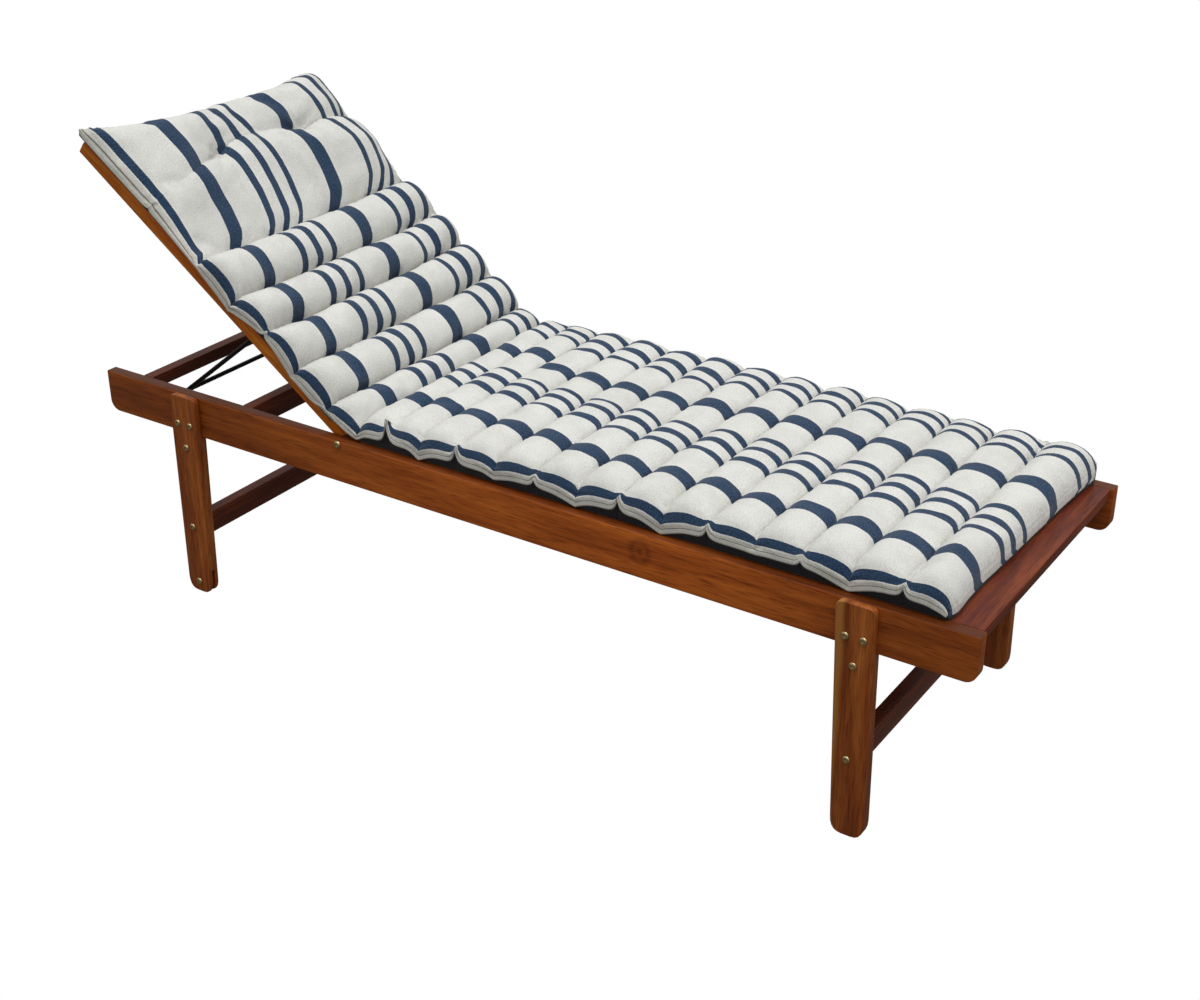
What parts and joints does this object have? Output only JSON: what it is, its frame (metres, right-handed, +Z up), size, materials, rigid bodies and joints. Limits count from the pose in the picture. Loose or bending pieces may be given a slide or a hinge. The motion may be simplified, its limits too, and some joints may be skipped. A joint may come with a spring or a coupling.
{
  "type": "sun lounger with channel-quilted cushion",
  "caption": "Channel-quilted sun lounger cushion in striped canvas with a tufted head panel, lying on its plain wooden lounger with the back raised.",
  "frame": {"origin": "middle of the floor area that the whole lounger covers, on the floor", "axes": "+X towards the foot end, +Y across to the far side, +Z up; the raised back is at -X"},
  "size_m": [1.908, 0.648, 0.9274],
  "materials": {
    "canvas": "woven cotton canvas, off-white with navy stripes",
    "wood": "oiled red-brown hardwood",
    "steel": "black coated steel",
    "brass": "yellow-plated bolt heads",
    "plastic": "moulded dark plastic wheels"
  },
  "bodies": {
    "root": {"rail_near": "wood", "rail_far": "wood", "leg_head_near": "wood", "leg_head_far": "wood", "wheel_near": "plastic", "wheel_far": "plastic", "stretcher_head": "wood", "leg_foot_near": "wood", "leg_foot_far": "wood", "stretcher_foot": "wood", "crossbar_head": "wood", "crossbar_prop": "wood", "foot_board": "wood", "seat_slat_1": "wood", "seat_slat_2": "wood", "seat_slat_3": "wood", "seat_slat_4": "wood", "seat_slat_5": "wood", "seat_slat_6": "wood", "seat_slat_7": "wood", "seat_slat_8": "wood", "seat_slat_9": "wood", "seat_slat_10": "wood", "stile_near": "wood", "stile_far": "wood", "back_slat_1": "wood", "back_slat_2": "wood", "back_slat_3": "wood", "back_slat_4": "wood", "back_slat_5": "wood", "back_slat_6": "wood", "back_slat_7": "wood", "prop_foot": "steel", "prop_arm_near": "steel", "prop_arm_far": "steel", "bolt_hinge_near": "brass", "bolt_hinge_far": "brass", "bolt_head_1_near": "brass", "bolt_head_1_far": "brass", "bolt_head_2_near": "brass", "bolt_head_2_far": "brass", "bolt_head_3_near": "brass", "bolt_head_3_far": "brass", "bolt_head_4_near": "brass", "bolt_head_4_far": "brass", "bolt_axle_near": "brass", "bolt_axle_far": "brass", "bolt_foot_1_near": "brass", "bolt_foot_1_far": "brass", "bolt_foot_2_near": "brass", "bolt_foot_2_far": "brass", "bolt_foot_3_near": "brass", "bolt_foot_3_far": "brass", "bolt_foot_4_near": "brass", "bolt_foot_4_far": "brass", "washer_near": "steel", "washer_far": "steel", "cushion": "canvas"}
  },
  "joints": []
}
